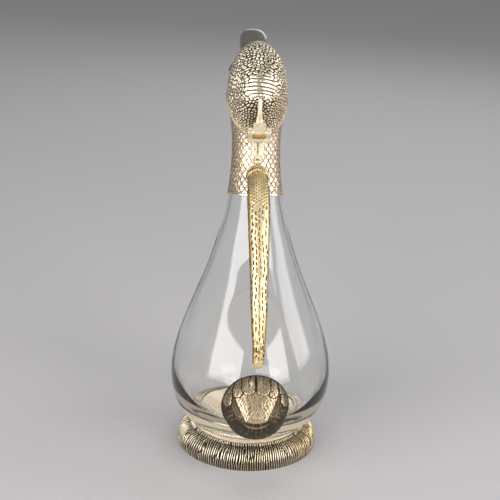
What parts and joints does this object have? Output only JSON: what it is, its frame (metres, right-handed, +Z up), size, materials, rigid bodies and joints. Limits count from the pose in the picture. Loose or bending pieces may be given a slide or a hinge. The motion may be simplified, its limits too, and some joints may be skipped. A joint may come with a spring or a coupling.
{
  "type": "wine decanter",
  "caption": "Duck-shaped claret jug: glass bulb in a ribbed metal base ring, feathered neck mount, hinged duck's-head lid, bill spout, tapered handle and tail cap.",
  "frame": {"origin": "middle of the base ring's underside, on the resting plane", "axes": "+Z up, +Y towards the bill, -Y towards the tail, +X to the right seen from behind"},
  "size_m": [0.1156, 0.1854, 0.2962],
  "materials": {
    "clear_glass": "clear, polished",
    "aged_silver": "antiqued silver plate, ribbed",
    "plain_plate": "plain plate",
    "cement": "matt cement",
    "bright_silver": "polished",
    "gilt_lip": "polished, gilt",
    "polished_bill": "polished",
    "pin_brass": "turned",
    "handle_gold": "pale gilt, stippled",
    "eye_bead": "gloss"
  },
  "bodies": {
    "jug": {"glass_body": "clear_glass", "base_ring": "aged_silver", "base_plate": "plain_plate", "base_cement": "cement", "tail_cap": "aged_silver", "tail_cement": "cement", "neck_mount": "aged_silver", "neck_bead": "bright_silver", "neck_lip": "gilt_lip", "neck_cement": "cement", "lower_bill": "polished_bill", "hinge_strap": "bright_silver", "hinge_pin": "pin_brass", "strap_rivet": "bright_silver", "handle_socket": "handle_gold", "handle": "handle_gold"},
    "lid": {"head_lid": "aged_silver", "upper_bill": "polished_bill", "left_eye": "eye_bead", "right_eye": "eye_bead", "hinge_tongue": "bright_silver"}
  },
  "joints": [
    {"name": "lid_hinge", "type": "hinge", "parent": "jug", "child": "lid", "pos_m": [0, -0.0056, 0.2392], "axis": [1, 0, 0], "range_deg": [0, 95]}
  ]
}
